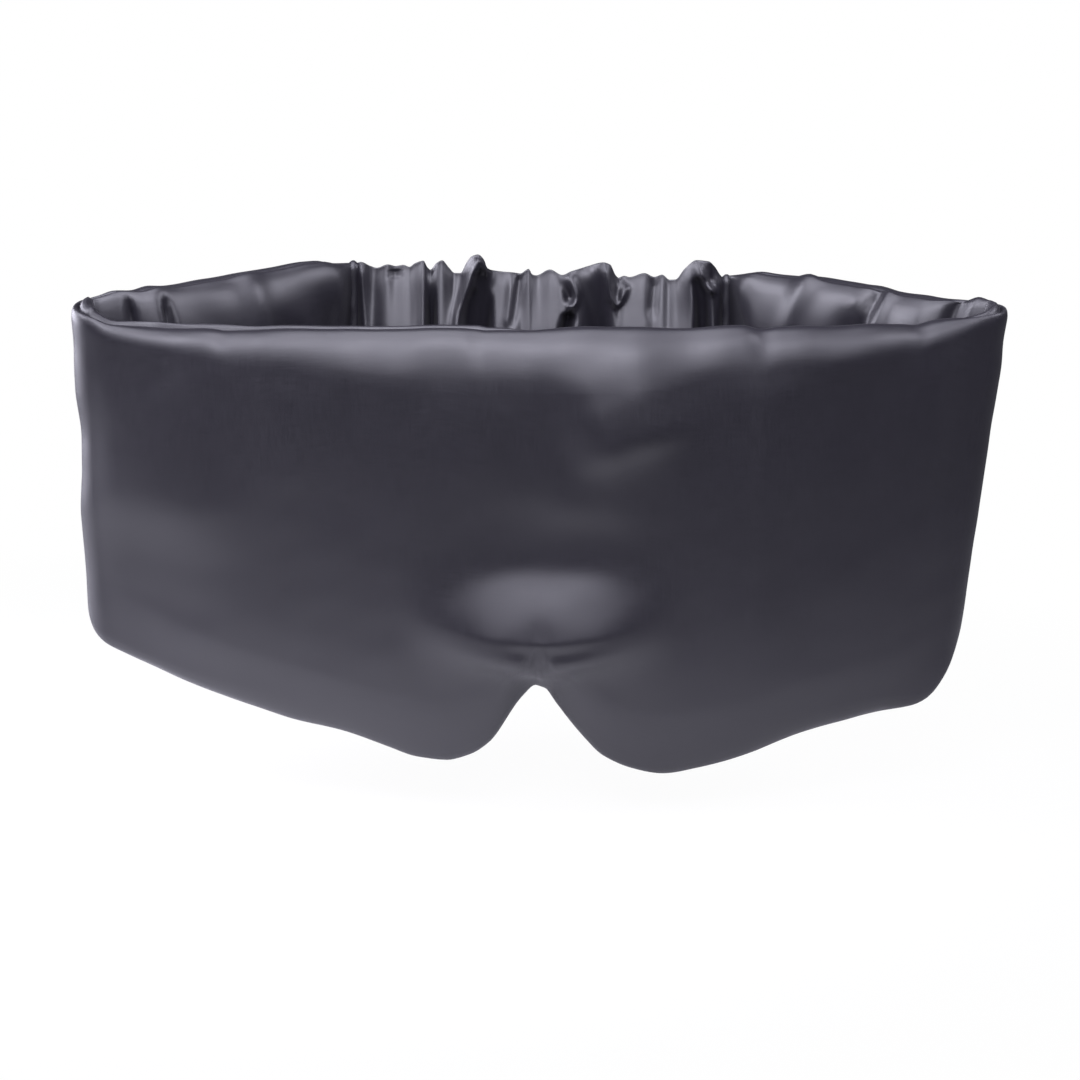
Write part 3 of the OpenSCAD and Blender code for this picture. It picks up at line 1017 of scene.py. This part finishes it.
@dataclass
class Band:
    """The gathered casing at the back and the elastic inside it.

    Attributes:
        pattern: Main measures of the mask.
        reach: Half the band's length.
        elastic: Thickness of the elastic.
        lean: How far the band leans back for each millimetre up.
        back_stand: How far the gathers stand over the elastic on the outer side.
        edge_half: Half the thickness of the casing's folded edges.
        frill: Height of the loose frill over the elastic.
        top_line: The casing's upper outline.
        panels: Stand of the inner face over the elastic, below its upper edge.
        edge_gathers: The same at the upper edge.
        pockets: Deep folds of the inner face, where it lies on the elastic.
        ridges: Narrow folds of the inner face.
    """

    pattern: Pattern
    reach: float = 49.0
    elastic: float = 1.4
    lean: float = 0.06
    back_stand: float = 5.5
    edge_half: float = 0.35
    frill: float = 8.0
    top_line: Points = (
        (-49, 61), (-47.8, 61.4), (-45.4, 60.1), (-43.8, 59.6), (-40.8, 60.6), (-38.6, 60.1), (-36.6, 60.4),
        (-35, 59.9), (-33.4, 61), (-31.2, 61.7), (-30.2, 59.8), (-29.4, 59), (-27.8, 60.8), (-26.2, 61.7),
        (-24.5, 59.8), (-22.9, 58.2), (-21.3, 58.3), (-19.7, 61.3), (-18.1, 63.4), (-16.5, 64), (-14.9, 62.5),
        (-14.1, 60.2), (-12, 59), (-7, 58.4), (-5.3, 58.1), (-3, 59.4), (-2.1, 57.9), (-1, 57.6), (2.7, 59.2),
        (5.9, 57.9), (8.3, 58.9), (13, 60.2), (17, 61.6), (18.7, 61), (20.3, 57.7), (21.1, 56.9),
        (22.6, 57.4), (23.9, 57.1), (28, 58.2), (30.7, 57.1), (32.8, 57.7), (34.7, 56.4), (36.3, 56.5),
        (38.7, 59.5), (41.9, 62.3), (45, 62), (46.7, 60.4), (48.3, 57.8), (49, 57))
    panels: Points = (
        (-49, 0.5), (-47.7, 4), (-46.4, 6), (-45, 6.4), (-41, 7.6), (-36, 8), (-31, 8.4), (-27.5, 8.2),
        (-24, 7.8), (-21.5, 8.2), (-12.4, 7.6), (-9, 7.2), (-6.8, 7.8), (-5, 7), (0, 7.2), (5, 7.4),
        (10, 6.6), (14, 4.5), (17.5, 5.5), (23, 6.6), (28, 6.8), (30, 6.4), (33, 6.8), (40.8, 7),
        (46.5, 6.3), (48.2, 2.8), (49, 0.3))
    edge_gathers: Points = (
        (-49, 1), (-47.7, 2.4), (-45, 0.6), (-41, 1.4), (-38.8, 0.8), (-35, 1), (-31.5, 2), (-29.2, 0),
        (-26.8, 1.4), (-23, 0.6), (-19, 3.6), (-16.5, 5.6), (-14, 4.4), (-12.5, 1.5), (-8, 1.4), (-5.5, 0.8),
        (-2.8, 1.4), (0, 0.8), (4, 1.4), (6.5, 2.2), (9, 2.2), (13, 1.2), (17.2, 4), (19.5, 3), (21, 0.2),
        (25, 0.9), (29, 0.9), (31, 0.4), (34.5, 0.8), (38, 1.4), (42, 4.4), (45, 4.6), (47, 3), (49, 1))
    pockets: tuple[Crease, ...] = (
        Crease(((-50.4, 66), (-50.4, 0)), 1.3, 1, edge=4),
        Crease(((-29.1, 66), (-29.1, 0)), 1.2, 1, edge=4),
        Crease(((-15, 58), (-15.4, 50), (-15.8, 0)), 2.5, 1, edge=4),
        Crease(((-16.6, 53), (-18.2, 46), (-18.6, 0)), 2.7, 1, edge=4),
        Crease(((6.1, 61), (6.8, 56.5), (8, 52.6)), 1.3, 1, edge=4),
        Crease(((7.6, 47), (6.8, 42), (6.8, 0)), 1.5, 1, edge=3),
        Crease(((13.5, 58), (15.4, 50), (16, 0)), 3.2, 0.75, edge=2.5),
        Crease(((21.2, 61), (21, 55), (20.9, 52.4)), 1.2, 1, edge=4),
        Crease(((42.6, 56.5), (43.4, 50), (43.6, 0)), 1.8, 1, edge=4),
        Crease(((45.9, 61.5), (45.8, 57.5)), 0.9, 0.9, edge=3),
        Crease(((50.4, 66), (50.4, 0)), 1.3, 1, edge=4),
    )
    ridges: tuple[Crease, ...] = (
        Crease(((-47.8, 63), (-47.6, 20)), 1.4, 0.9, 0.1),
        Crease(((-45, 63), (-44.6, 24)), 2.2, -0.8, 0.3),
        Crease(((-38.9, 60), (-38.8, 57)), 1.4, -0.9, 0.3),
        Crease(((-31, 63), (-30.9, 50), (-31, 30)), 1, 0.9, 0.1),
        Crease(((-22.6, 38), (-21.9, 47.7), (-19.6, 55.2), (-17.6, 61), (-16.4, 64)), 1.3, 2.6, 0.06),
        Crease(((-16.6, 64), (-14.6, 62.4), (-13.6, 58.5)), 1, 1.8, 0.2),
        Crease(((-6.6, 61), (-8.8, 44)), 1.5, 0.8, 0.2),
        Crease(((-5.3, 60), (-7.6, 44)), 0.9, -1.3, 0.2),
        Crease(((7.1, 61), (8.3, 57.5), (9.7, 53.5), (9.3, 51.2), (7.2, 49.8)), 1, 1.7, 0.12),
        Crease(((17.2, 63), (18.2, 57.5), (18.9, 53.2), (20.5, 51), (22.3, 53.4), (23.2, 56.5)),
               1, 1.8, 0.12),
        Crease(((30.8, 59), (29.6, 46)), 1.3, -0.9, 0.3),
        Crease(((34.2, 60), (34, 40)), 1.2, -0.5, 0.3),
        Crease(((42.1, 63.5), (43.3, 58.4), (44.8, 55.6), (47, 54)), 0.9, 2.2, 0.12),
        Crease(((47.9, 59), (48.2, 50), (48.2, 30)), 0.8, 1.4, 0.1),
    )

    COLUMNS = 295
    FACE_ROWS = 96
    EDGE_ROWS = 5
    CROWD = 1.7
    ROUNDING = (2, 4)
    LEAN_FROM = 40.0
    # The inner face bends in at a height, to its upper edge, and its pockets widen upwards
    LOW_UP = 42.0
    BEND = 2.0
    EDGE_CURVE = 1.5
    HEM_CURVE = 12
    FLOOR = 0.4
    OVERHANG = 0.16
    # Both faces come together at the lower edge, which waves a little
    FOOT_UP = 12.0
    FOOT_IN = 1.0
    FOOT_SHARE = 0.3
    LOW_WAVE = 1.2
    LOW_WAVES = (0.31, 0.12)
    # The outer face: its gathers' number, heights and spread, its least stand and its ends
    BACK_FOLDS = 13
    BACK_UP = (62, 40, 18, -4)
    BACK_BENDS = (1, 0, -0.6, 0.5)
    BACK_SWAY = 2.4
    BACK_WIDTH = (1.5, 1.3)
    BACK_DEPTH = (-3.2, -1.8)
    BACK_EDGE = 2.6
    SPREAD = (0.618, 0.414)
    BACK_LEAST = 0.5
    BACK_END = 3.2
    FRILL_PAST = 0.3
    RIBS = 14
    RIB_ROWS = 8
    STRIP_COLUMNS = 60
    RIB_DEPTH = 0.2

    def __post_init__(self) -> None:
        """Lays out the columns of points of the casing's faces, from its lower edge to its upper one."""
        x = np.linspace(-self.reach, self.reach, self.COLUMNS)[:, None]
        wave, drift = self.LOW_WAVES
        self.low = self.pattern.band_low + self.LOW_WAVE * np.sin(wave * x + 1) * np.cos(drift * x)
        self.top = through(self.top_line, x)
        self.up = mix(self.low, self.top, 1 - (1 - np.linspace(0, 1, self.FACE_ROWS)) ** self.CROWD)
        self.across = x * np.ones_like(self.up)

    def tilt(self, up: Array) -> Array:
        """How far the band leans back at each height."""
        return self.lean * np.maximum(up - self.LEAN_FROM, 0)

    def back_creases(self) -> list[Crease]:
        """Gathers of the outer face: upright valleys that differ in place, width and depth.

        Returns:
            The valleys from left to right.
        """
        found = []
        for k in range(self.BACK_FOLDS):
            share, other = (k * spread % 1 for spread in self.SPREAD)
            x = self.reach * (2 * (k + 0.5 + 0.5 * (share - 0.5)) / self.BACK_FOLDS - 1)
            sway = self.BACK_SWAY * math.sin(5 * share + k)
            line = tuple((x + bend * sway, up) for bend, up in zip(self.BACK_BENDS, self.BACK_UP))
            width = self.BACK_WIDTH[0] + self.BACK_WIDTH[1] * share
            depth = self.BACK_DEPTH[0] + self.BACK_DEPTH[1] * other
            found.append(Crease(line, width, depth, edge=self.BACK_EDGE))
        return found

    def inner_level(self) -> Array:
        """How far the inner face of the casing stands over the elastic.

        Returns:
            The stand at each point.
        """
        x, z = self.across, self.up
        rise = self.BEND * np.logaddexp(0, (z - self.LOW_UP) / self.BEND)
        share = np.clip(rise / (self.top - self.LOW_UP), 0, 1)
        edge, panel = through(self.edge_gathers, x), through(self.panels, x)
        level = panel * (1 - share) + edge * share ** self.EDGE_CURVE
        pocket = np.max([crease.lift(x, z) for crease in self.pockets], axis=0)
        floor = self.FLOOR + self.OVERHANG * np.maximum(z - self.LOW_UP, 0)
        level = mix(level, floor, pocket * ease(self.low, self.LOW_UP, z))
        for crease in self.ridges:
            level = level + crease.lift(x, z)
        hem = share ** self.HEM_CURVE
        level = np.maximum(level, self.FLOOR) * (1 - hem) + (edge + self.edge_half - self.elastic / 2) * hem
        foot = self.FOOT_SHARE * panel - self.FOOT_IN + self.edge_half
        return mix(level, foot, 1 - ease(self.low, self.low + self.FOOT_UP, z))

    def outer_level(self) -> Array:
        """How far the outer face of the casing stands over the elastic.

        Returns:
            The stand at each point.
        """
        x, z = self.across, self.up
        level = np.full(x.shape, self.back_stand)
        for crease in self.back_creases():
            level = level + crease.lift(x, z)
        ends = ease(0, self.BACK_END, self.reach - np.abs(x))
        level = np.maximum(level, self.BACK_LEAST) * ends + self.BACK_LEAST
        edge = self.edge_half - self.elastic / 2 - through(self.edge_gathers, x)
        level = mix(level, edge, ease(self.top - self.frill, self.top + self.FRILL_PAST, z))
        foot = self.edge_half + self.FOOT_IN - self.FOOT_SHARE * through(self.panels, x)
        return mix(level, foot, 1 - ease(self.low, self.low + self.frill, z))

    def casing(self) -> Piece:
        """Makes the gathered satin tube.

        Returns:
            The casing.
        """
        across, up = self.across, self.up
        levels = (self.inner_level(), self.outer_level())
        inner, outer = (soften(level, passes, 0) for level, passes in zip(levels, self.ROUNDING))
        middle, half = self.pattern.seam[1] + self.tilt(up), self.elastic / 2
        front_y, back_y = middle - half - inner, middle + half + outer
        turn = np.linspace(0, math.pi, self.EDGE_ROWS + 2)[1:-1]
        edges = []
        for k, sign in ((-1, 1), (0, -1)):
            centre = (front_y[:, k] + back_y[:, k])[:, None] / 2
            radius = (back_y[:, k] - front_y[:, k])[:, None] / 2
            edges.append(np.stack([across[:, :1] * np.ones_like(turn), centre - sign * radius * np.cos(turn),
                                   up[:, k][:, None] + sign * np.abs(radius) * np.sin(turn)], -1))
        front, back = (np.stack([across, y, up], -1) for y in (front_y, back_y))
        grid = np.concatenate([front, edges[0], back[:, ::-1], edges[1]], 1)
        loop = rejoin(grid)
        girth, run = run_length(loop), run_length(loop[:, self.FACE_ROWS // 2])
        uv = np.stack([run[:, None] * np.ones_like(girth), girth], -1)
        return cloth_mesh("band_casing_satin", grid, uv, False)

    def strip(self) -> Piece:
        """Makes the elastic strip with its lengthwise ribs.

        Returns:
            The elastic.
        """
        low, high = (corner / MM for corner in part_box("band_elastic"))
        x = np.linspace(low.x, high.x, self.STRIP_COLUMNS)[:, None]
        z = np.linspace(low.z, high.z, self.RIB_ROWS * self.RIBS + 1)
        ribs = np.abs(np.sin(math.pi * self.RIBS * np.linspace(0, 1, len(z))))
        half = self.elastic / 2 * (1 - self.RIB_DEPTH + self.RIB_DEPTH * ribs)
        out, up = np.concatenate([-half, half[::-1]]), np.concatenate([z, z[::-1]])
        y = self.pattern.seam[1] + out + self.tilt(up)
        grid = np.stack(np.broadcast_arrays(x, y, up), -1)
        uv = np.stack(np.broadcast_arrays(x, np.append(up, up[0])), -1)
        return cloth_mesh("band_elastic_strip", grid, uv, True)

    def dress(self, casing: Piece, strip: Piece, satin: Material, webbing: Material) -> None:
        """Gives the band its finishes.

        Args:
            casing: The gathered tube.
            strip: The elastic.
            satin: Finish of the casing.
            webbing: Finish of the elastic.
        """
        for piece, finish, slot in ((casing, satin, "satin"), (strip, webbing, "elastic")):
            piece.data.materials.append(finish)
            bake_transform(piece)
        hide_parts("band_casing")
        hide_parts("band_elastic")


@dataclass
class SeamWelt:
    """The rolled seam between a wing and the band.

    Attributes:
        pattern: Main measures of the mask.
        hand: The end of the mask.
        radius: Radius of the roll.
    """

    pattern: Pattern
    hand: Hand
    radius: float = 2.0

    TOPS = {Hand.LEFT: 62.0, Hand.RIGHT: 58.2}
    RINGS = 60
    SIDES = 20
    END_ROUND = 0.96
    PUCKER = 0.07
    PUCKERS = 46
    PUCKER_DRIFT = (2, 9)

    def build(self) -> Piece:
        """Makes the roll with its small puckers.

        Returns:
            The roll.
        """
        p, side = self.pattern, self.hand.value
        tall = self.TOPS[self.hand] - p.band_low
        drift, drifts = self.PUCKER_DRIFT
        share = np.linspace(0, 1, self.RINGS)[:, None]
        angle = -side * np.linspace(0, 2 * math.pi, self.SIDES, endpoint=False)[None]
        end = np.minimum(1, np.minimum(share, 1 - share) * tall / self.radius)
        radius = self.radius * np.sqrt(1 - (1 - end) ** 2 * self.END_ROUND)
        puckers = np.sin(self.PUCKERS * share + drift * np.sin(drifts * share)) * np.sin(angle + 1)
        radius = radius * (1 + self.PUCKER * puckers)
        x = side * (p.seam[0] + radius * np.cos(angle))
        y = p.seam[1] + radius * np.sin(angle) * side
        z = p.band_low + tall * share * np.ones_like(angle)
        uv = np.stack([z, self.radius * angle * np.ones_like(share)], -1)
        uv = np.concatenate([uv, uv[:, -1:]], 1)
        return cloth_mesh(f"{self.hand.word}_seam_roll", np.stack([x, y, z], -1), uv, True)

    def dress(self, roll: Piece, satin: Material) -> None:
        """Gives the roll its finish and ties it to its wing.

        Args:
            roll: The roll.
            satin: Its finish.
        """
        roll.data.materials.append(satin)
        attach(roll, f"{self.hand.word}_wing")
        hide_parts(f"{self.hand.word}_seam_welt")


@dataclass
class Studio:
    """The camera, the floor and the soft light of a white studio.

    Attributes:
        elevation: Height of the camera over the horizon, in degrees.
        distance: Distance of the camera from the origin.
        lens: Focal length of the camera.
        floor: Height of the floor.
    """

    elevation: float = 15.0
    distance: float = 900.0
    lens: float = 117.0
    floor: float = -70.0

    SENSOR = 36.0
    FLOOR_HALF_M = 6.0
    FLOOR_ROUGHNESS = 0.9
    FLOOR_SPECULAR = 0.1
    # The floor's paint: a painted pool of light within one distance of the mask's middle, which bounces light
    # onto the mask's lower edges, and painted shade from another distance, which keeps the mask's reflection
    # of the floor dark, in metres
    PAINTED_POOL_SHIFT = 0.08
    PAINTED_POOL_SQUEEZE = 0.55
    PALE, PALE_M = (0.75, 0.75, 0.75), 0.08
    DIM, DIM_M = (0.08, 0.08, 0.08), 0.26
    SHADOW_SHARE = 0.9
    AMBIENT = 0.046
    TINT = (1.0, 0.985, 1.14)
    # Soft boxes: name, place and target in metres, sides in metres, watts
    LAMPS = (
        ("overhead", (-0.1, -0.25, 0.9), (-0.1, -0.2, 0), (0.6, 1.1), 11.5),
        ("front_top", (-0.05, -0.8, 0.92), (0, 0, 0), (0.8, 0.5), 10.0),
        ("front_low", (0, -1.0, 0.52), (0, 0, 0), (0.8, 0.25), 4.0),
        ("left_fill", (-0.8, -0.1, 0.7), (0, 0, 0), (0.5, 0.5), 11.5),
        ("left_edge", (-0.7, 0.3, 0.05), (0, 0, 0), (0.6, 0.5), 10.0),
        ("right_fill", (0.8, -0.1, 0.7), (0, 0, 0), (0.5, 0.5), 7.0),
    )

    def camera(self) -> None:
        """Makes the camera and points it at the origin."""
        data = bpy.data.cameras.new("camera")
        data.sensor_width = self.SENSOR
        data.lens = self.lens
        eye = bpy.data.objects.new("camera", data)
        tilt = math.radians(self.elevation)
        eye.location = Vector((0, -math.cos(tilt), math.sin(tilt))) * self.distance * MM
        eye.rotation_euler = (math.pi / 2 - tilt, 0, 0)
        bpy.context.scene.collection.objects.link(eye)
        bpy.context.scene.camera = eye

    def paint(self) -> Material:
        """Makes the floor's paint: a painted pool of light under the mask, painted shade further out, and
        white to the camera.

        Returns:
            The finished material.
        """
        made = bpy.data.materials.new("floor_white_painted_light_pool")
        board = Board(made)
        shader = board.nodes["Principled BSDF"]
        place = board.add("TexCoord", "Object", {})
        squeeze = {"Location": (self.PAINTED_POOL_SHIFT, 0.0, 0.0), "Scale": (self.PAINTED_POOL_SQUEEZE, 1.0, 1.0)}
        painted_pool = board.add("Mapping", "Vector", {"Vector": place, **squeeze})
        away = board.add("VectorMath", "Value", {0: painted_pool}, operation="LENGTH")
        # The base colour is painted light: a pale pool under the mask that throws light back onto it, and
        # painted shade further out
        board.feed(shader, {
            "Base Color": board.ramp(away, (self.PALE_M, self.PALE), (self.DIM_M, self.DIM)),
            "Roughness": self.FLOOR_ROUGHNESS,
            "Specular IOR Level": self.FLOOR_SPECULAR,
        })
        span = {"From Max": self.DIM_M, "To Min": self.SHADOW_SHARE, "To Max": 1.0}
        white = board.add("MapRange", "Result", {"Value": away, **span})
        seen = board.add("LightPath", "Is Camera Ray", {})
        share = board.add("Math", "Value", {0: seen, 1: white}, operation="MULTIPLY")
        glow = board.add("Emission", "Emission", {"Strength": 1.0})
        surface = board.add("MixShader", "Shader", {"Fac": share, 1: shader.outputs["BSDF"], 2: glow})
        board.feed(board.nodes["Material Output"], {"Surface": surface})
        return made

    def ground(self) -> None:
        """Makes the floor."""
        half, z = self.FLOOR_HALF_M, self.floor * MM
        mesh = bpy.data.meshes.new("floor")
        corners = [(-half, -half, z), (half, -half, z), (half, half, z), (-half, half, z)]
        mesh.from_pydata(corners, [], [(0, 1, 2, 3)])
        floor = bpy.data.objects.new("floor", mesh)
        bpy.context.scene.collection.objects.link(floor)
        floor.data.materials.append(self.paint())

    def world(self) -> None:
        """Makes the dim room, white where the camera looks past the floor."""
        room = bpy.data.worlds.new("room")
        board = Board(room)
        seen = board.add("LightPath", "Is Camera Ray", {})
        level = board.add("MapRange", "Result", {"Value": seen, "To Min": self.AMBIENT, "To Max": 1.0})
        board.feed(board.nodes["Background"], {"Color": (1, 1, 1, 1), "Strength": level})
        bpy.context.scene.world = room

    def lamps(self) -> None:
        """Makes the soft boxes."""
        for name, place, target, size, watts in self.LAMPS:
            data = bpy.data.lights.new(name, "AREA")
            data.shape = "RECTANGLE"
            data.size, data.size_y = size
            data.energy = watts
            data.color = self.TINT
            box = bpy.data.objects.new(name, data)
            box.location = place
            box.rotation_mode = "QUATERNION"
            box.rotation_quaternion = (Vector(target) - Vector(place)).to_track_quat("-Z", "Y")
            bpy.context.scene.collection.objects.link(box)

    def build(self) -> None:
        """Sets the whole studio up."""
        self.camera()
        self.ground()
        self.world()
        self.lamps()
        bpy.context.scene.view_settings.view_transform = "Standard"


def main() -> None:
    """Builds the mask's pieces in order and reports each one."""
    logging.basicConfig(level=logging.INFO, format="%(name)s: %(message)s")
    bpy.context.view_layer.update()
    pattern = Pattern.from_frame()
    Studio().build()
    satin = Satin("slate_satin", colour=(0.0068, 0.0062, 0.0092), pale=(0.011, 0.0101, 0.0145),
                  gloss=0.38, matt=0.48, nap=0.03).material()
    webbing = Webbing("elastic_webbing", colour=(0.62, 0.62, 0.64)).material()
    pad = Pad(pattern)
    pieces = pad.build()
    pad.dress(pieces, satin)
    for name in pieces:
        log.info("made %s", name)
    band = Band(pattern)
    casing, strip = band.casing(), band.strip()
    band.dress(casing, strip, satin, webbing)
    log.info("made %s and %s", casing.name, strip.name)
    for hand in Hand:
        welt = SeamWelt(pattern, hand)
        roll = welt.build()
        welt.dress(roll, satin)
        log.info("made %s", roll.name)


if __name__ == "__main__":
    main()
